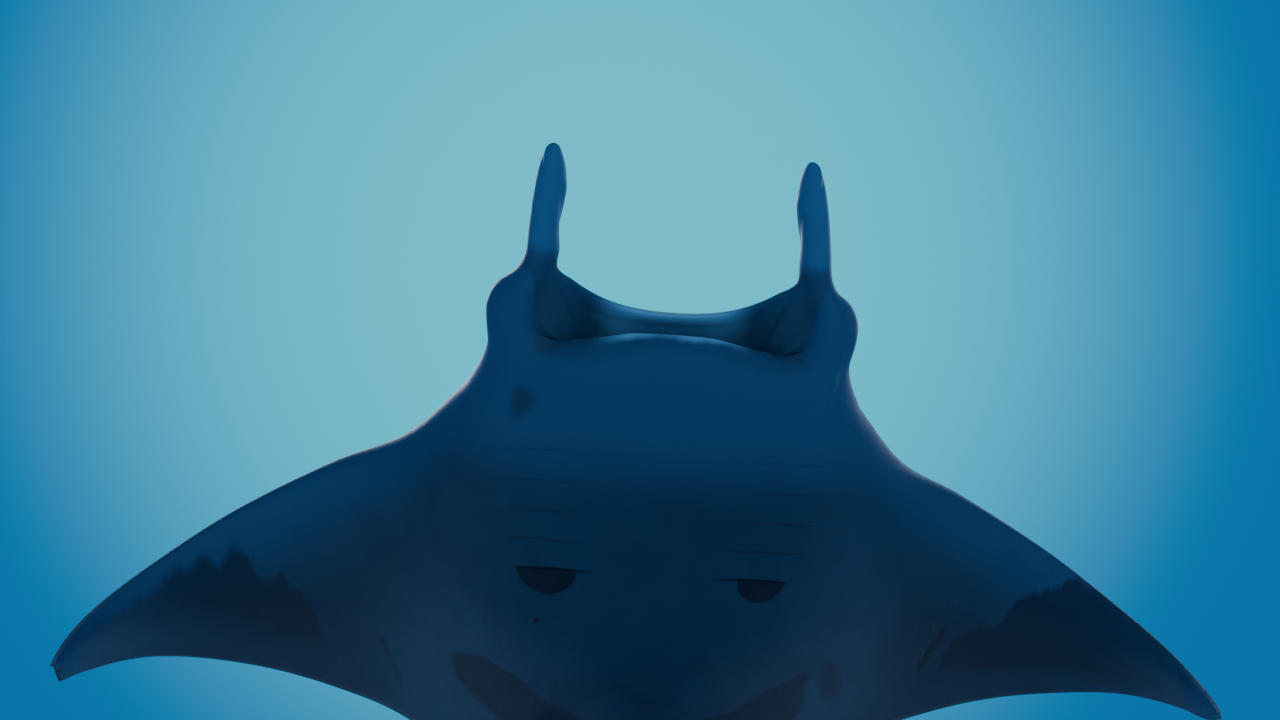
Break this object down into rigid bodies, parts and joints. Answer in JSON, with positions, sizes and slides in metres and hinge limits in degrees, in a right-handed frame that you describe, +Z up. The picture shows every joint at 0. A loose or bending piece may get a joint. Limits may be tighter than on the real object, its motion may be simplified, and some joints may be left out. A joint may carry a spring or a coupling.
{
  "type": "manta ray model",
  "caption": "Life-size still model of a giant oceanic manta ray, nose up with its wing tips curving down and its head fins rolled, held by rods on a flat steel base.",
  "frame": {"origin": "middle of the base plate's underside, on the floor", "axes": "+Z up, the snout towards -Y and up, the ray's left wing towards +X"},
  "size_m": [3.6504, 2.974, 2.4213],
  "materials": {
    "skin": "satin",
    "eye": "gloss",
    "steel": "satin"
  },
  "bodies": {
    "root": {"head": "skin", "cephalic_fin_left": "skin", "cephalic_fin_right": "skin", "trunk": "skin", "pectoral_fin_left": "skin", "pectoral_fin_right": "skin", "pelvic_fin_left": "skin", "pelvic_fin_right": "skin", "dorsal_fin": "skin", "tail": "skin", "eye_left": "eye", "eye_right": "eye", "stand_base": "steel", "stand_rod_left": "steel", "stand_rod_right": "steel", "stand_collar_left": "steel", "stand_collar_right": "steel"}
  },
  "joints": []
}
